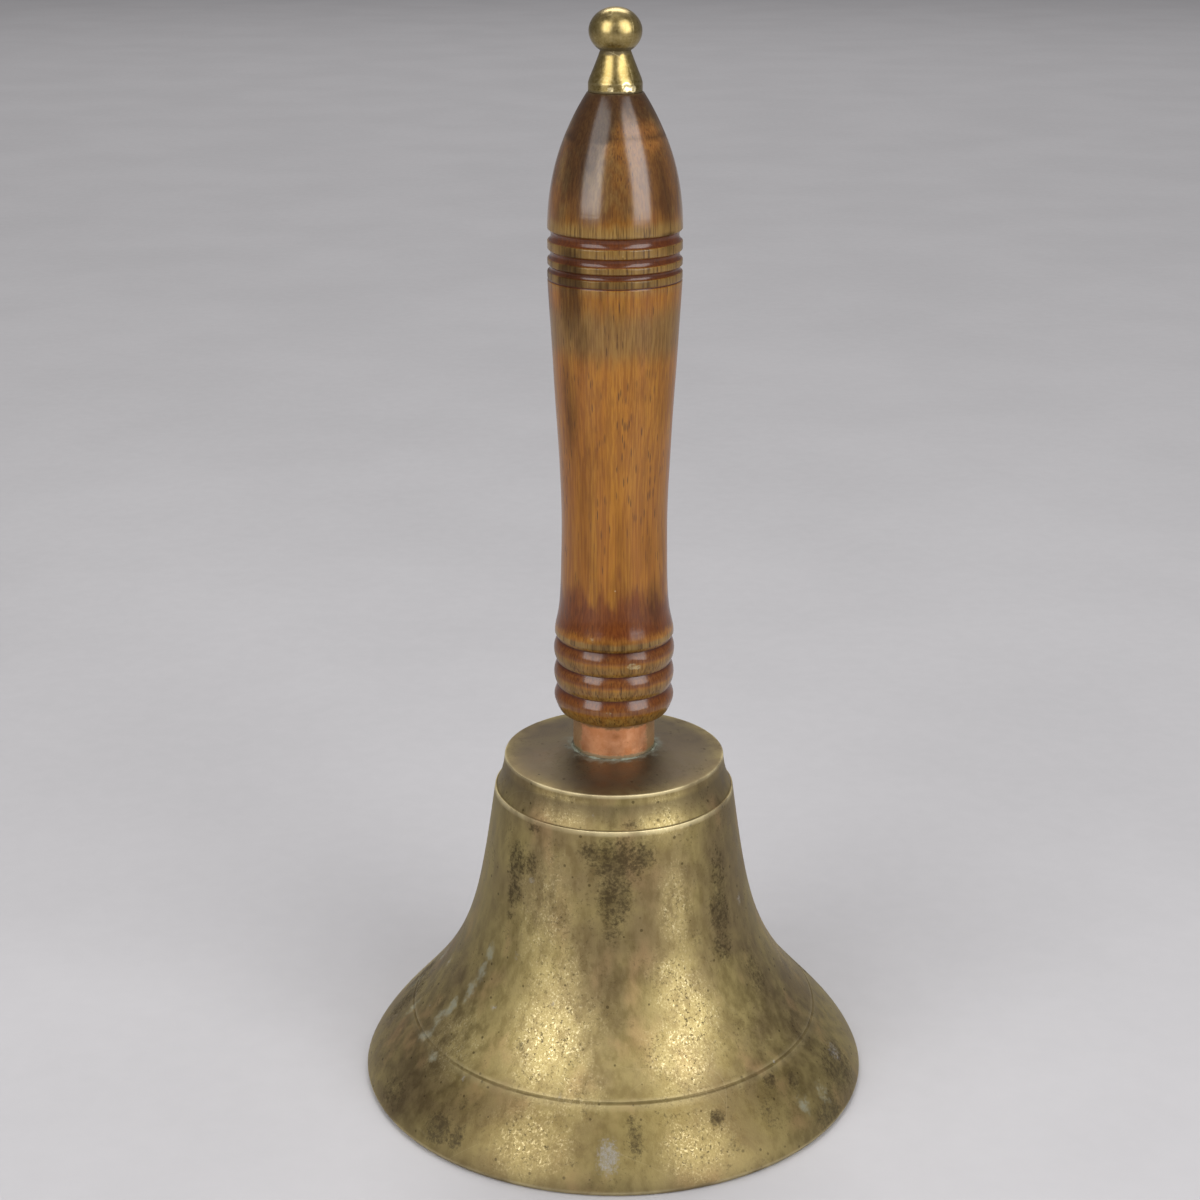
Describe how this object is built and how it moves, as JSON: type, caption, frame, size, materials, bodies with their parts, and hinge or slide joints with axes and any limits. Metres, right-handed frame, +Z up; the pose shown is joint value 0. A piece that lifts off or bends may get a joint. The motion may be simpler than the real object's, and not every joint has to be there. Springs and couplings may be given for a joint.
{
  "type": "handbell",
  "caption": "School handbell: a flared brass bell on a turned wooden handle with a brass knob, rung by an iron clapper that swings all round inside the mouth.",
  "frame": {"origin": "centre of the mouth, on the plane of the rim", "axes": "+Z up along the bell's axis from mouth to finial; the stirrup's pin lies along Y at rest"},
  "size_m": [0.15, 0.15, 0.3108],
  "materials": {
    "aged_brass": "tarnished, satin, with brighter rubbed patches and dark spots",
    "worn_brass": "worn semi-gloss with small dents",
    "aged_copper": "copper, satin, olive tarnish at the sides",
    "turned_wood": "stained hardwood under worn varnish",
    "bright_steel": "dull zinc-plated steel",
    "dark_steel": "dark oiled steel strap",
    "dark_iron": "oiled black iron, polished where it strikes"
  },
  "bodies": {
    "bell": {"bell_shell": "aged_brass", "ferrule": "aged_copper", "handle": "turned_wood", "finial": "worn_brass", "tie_rod": "bright_steel", "crown_nut": "bright_steel", "crown_washer": "bright_steel"},
    "stirrup": {"clapper_stirrup": "dark_steel", "stirrup_pin": "dark_steel"},
    "clapper": {"clapper_stem": "dark_iron", "clapper_ball": "dark_iron"}
  },
  "joints": [
    {"name": "stirrup_turn", "type": "hinge", "parent": "bell", "child": "stirrup", "pos_m": [0, 0, 0.089], "axis": [0, 0, 1], "continuous": true},
    {"name": "clapper_swing", "type": "hinge", "parent": "stirrup", "child": "clapper", "pos_m": [0, 0, 0.0798], "axis": [0, 1, 0], "range_deg": [-32.8, 32.8]}
  ]
}
